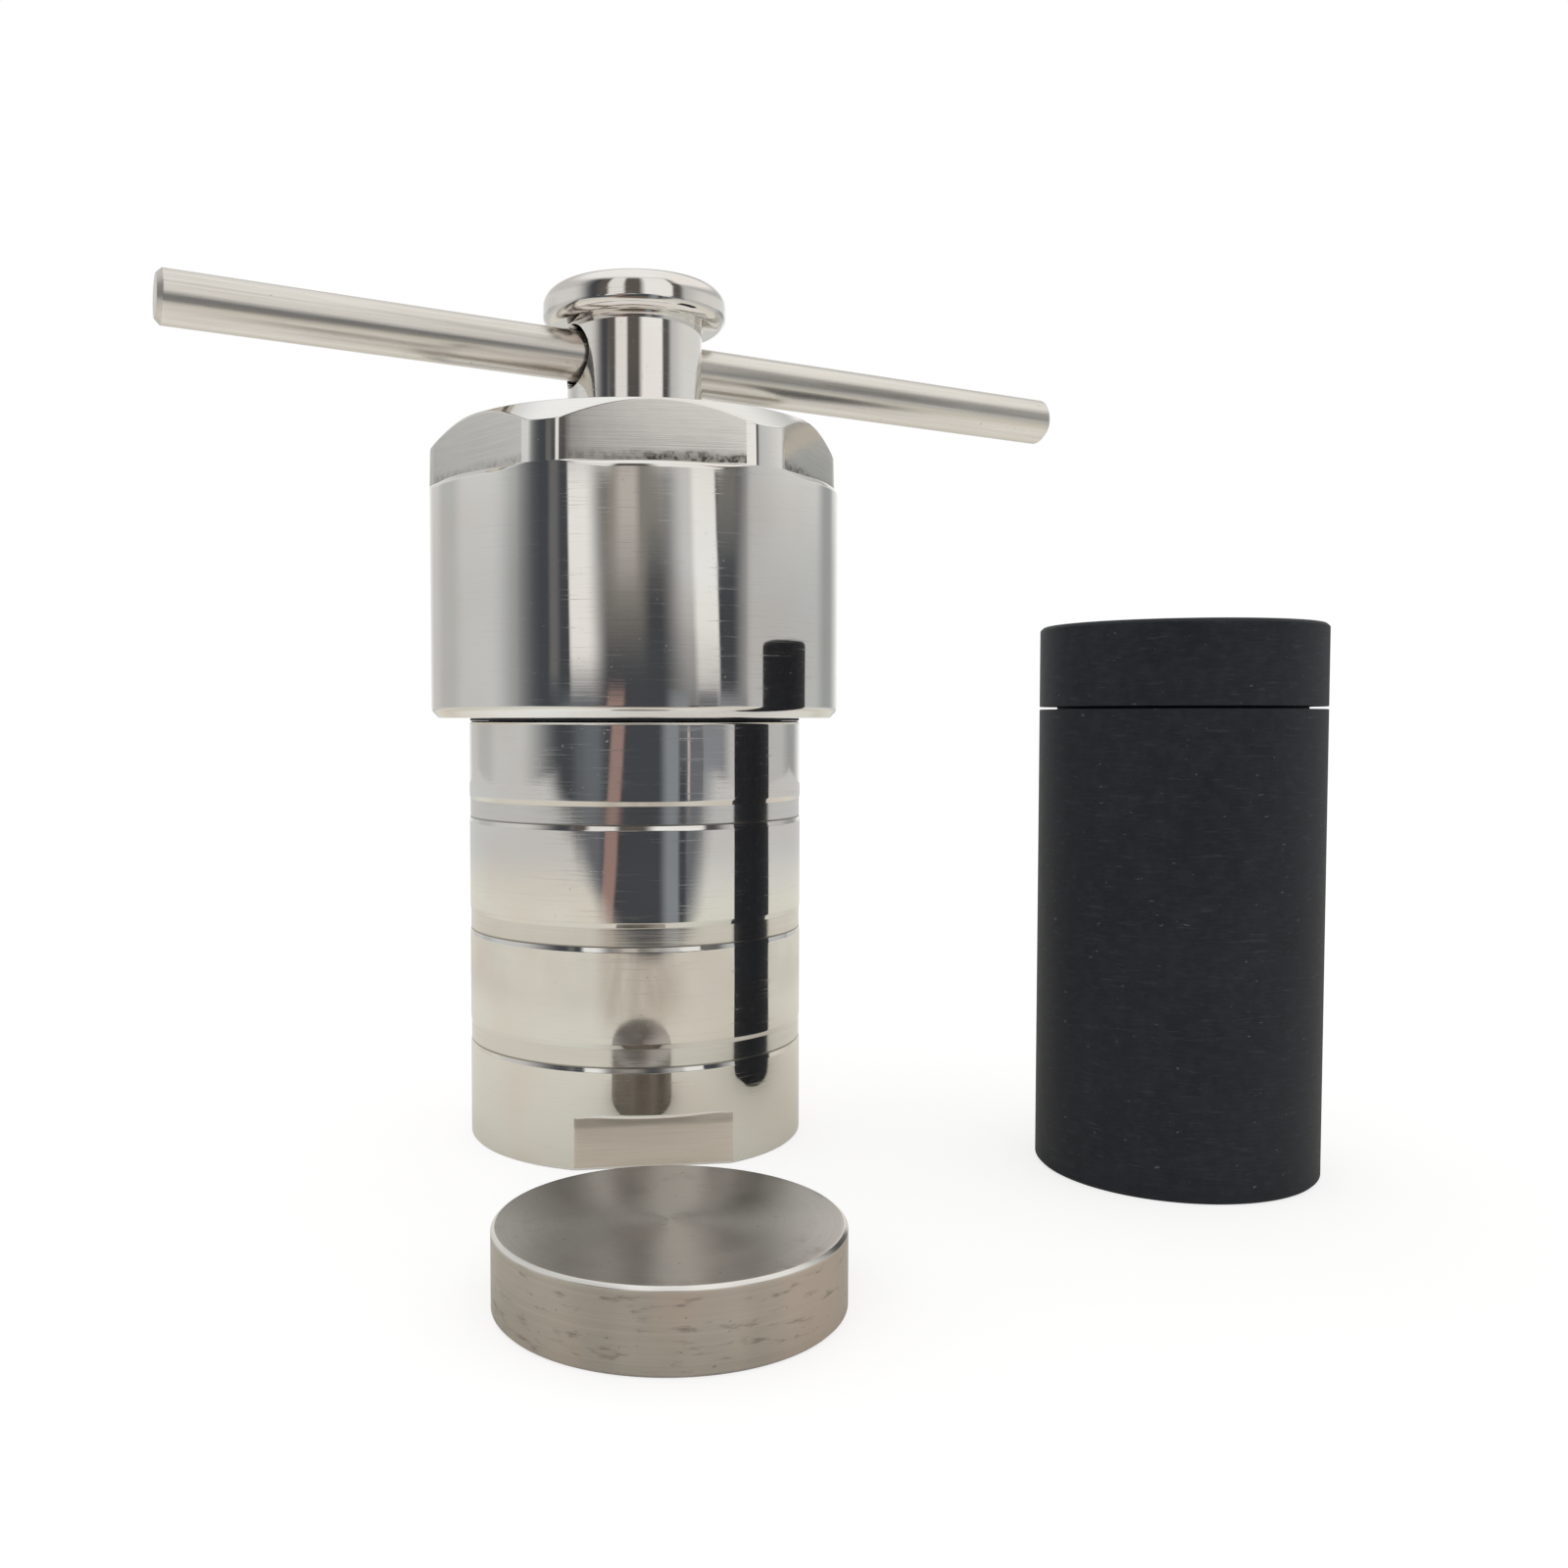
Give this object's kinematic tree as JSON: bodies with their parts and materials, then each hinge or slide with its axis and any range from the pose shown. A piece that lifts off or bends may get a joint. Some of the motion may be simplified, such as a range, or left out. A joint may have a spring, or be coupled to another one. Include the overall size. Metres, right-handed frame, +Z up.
{
  "type": "hydrothermal synthesis vessel",
  "caption": "Steel pressure vessel with a screw cap, a headed pressure screw and loose tommy bar, a steel pressure disc and a black polymer liner cup with plug lid.",
  "frame": {"origin": "on the table under the shell, where the shell's axis meets its flat bottom", "axes": "+Z up along the shell's axis, +X towards the side where the liner stands, -Y towards the pressure disc"},
  "size_m": [0.2154, 0.1669, 0.1724],
  "materials": {
    "polished_steel": "stainless steel, turned and polished",
    "brushed_steel": "stainless steel, turned, fine brush marks",
    "black_liner": "matte black fluoropolymer blend, fine turning marks",
    "black_washer": "matte black filled polymer"
  },
  "bodies": {
    "vessel": {"shell": "polished_steel"},
    "washer": {"slip_washer": "black_washer"},
    "lid": {"cap": "polished_steel"},
    "pad": {"swivel_pad": "brushed_steel", "pad_snap_ring": "brushed_steel"},
    "screw": {"pressure_screw": "polished_steel"},
    "bar": {"tommy_bar": "brushed_steel"},
    "disc": {"pressure_disc": "brushed_steel"},
    "liner": {"liner_cup": "black_liner"},
    "plug": {"liner_lid": "black_liner"}
  },
  "joints": [
    {"name": "cap_turn", "type": "hinge", "parent": "vessel", "child": "washer", "pos_m": [0, 0, 0.0846], "axis": [0, 0, 1], "range_deg": [0, 3600]},
    {"name": "cap_rise", "type": "slide", "parent": "washer", "child": "lid", "axis": [0, 0, 1], "range_m": [0, 0.03]},
    {"name": "screw_feed", "type": "slide", "parent": "lid", "child": "pad", "axis": [0, 0, 1], "range_m": [0, 0.009]},
    {"name": "screw_turn", "type": "hinge", "parent": "pad", "child": "screw", "pos_m": [0, 0, 0.1427], "axis": [0, 0, 1], "range_deg": [0, 1080]},
    {"name": "bar_slide", "type": "slide", "parent": "screw", "child": "bar", "axis": [0.9037, 0.4272, -0.0284], "range_m": [-0.12, 0.11]},
    {"name": "disc_lift", "type": "slide", "parent": "vessel", "child": "disc", "axis": [0, 0, 1], "range_m": [0, 0.2]},
    {"name": "liner_lift", "type": "slide", "parent": "vessel", "child": "liner", "axis": [0, 0, 1], "range_m": [0, 0.2]},
    {"name": "liner_lid_lift", "type": "slide", "parent": "liner", "child": "plug", "axis": [0, 0, 1], "range_m": [0, 0.12]}
  ],
  "couplings": [
    {"joint": "cap_rise", "follows": "cap_turn", "m_per_rad": 0.00047746},
    {"joint": "screw_feed", "follows": "screw_turn", "m_per_rad": 0.00047746}
  ]
}
